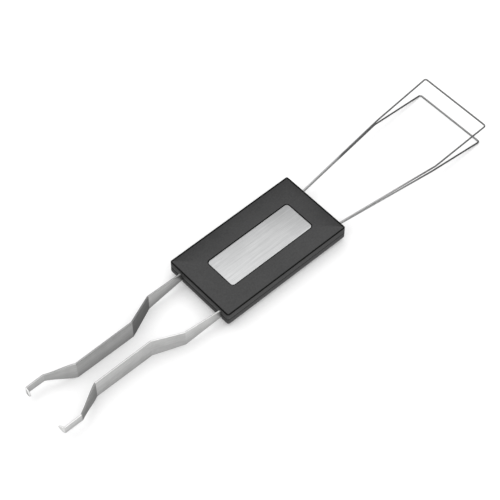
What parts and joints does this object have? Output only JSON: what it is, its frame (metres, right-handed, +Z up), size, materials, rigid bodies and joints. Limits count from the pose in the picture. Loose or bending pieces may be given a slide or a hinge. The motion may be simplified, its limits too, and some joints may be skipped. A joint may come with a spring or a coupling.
{
  "type": "keycap puller",
  "caption": "Slim two-ended keyboard tool: a black handle with a brushed plate holds a hooked strip spring for switches at one end and a pair of wire loops for keycaps at the other.",
  "frame": {"origin": "middle of the tool's outline at the surface that it lies on", "axes": "+X along the tool from the hooked strip to the wire loops, +Y across the handle, +Z up out of the plate"},
  "size_m": [0.1588, 0.0266, 0.0072],
  "materials": {
    "black_plastic": "fine matte moulded black plastic",
    "brushed_aluminium": "satin plate with fine lengthwise brushing",
    "spring_steel_strip": "rolled spring steel strip, satin",
    "spring_steel_wire": "drawn spring steel wire, smooth"
  },
  "bodies": {
    "root": {"housing_cover": "black_plastic", "housing_base": "black_plastic", "inlay_plate": "brushed_aluminium", "switch_spring": "spring_steel_strip", "keycap_loop_upper": "spring_steel_wire", "keycap_loop_lower": "spring_steel_wire"}
  },
  "joints": []
}
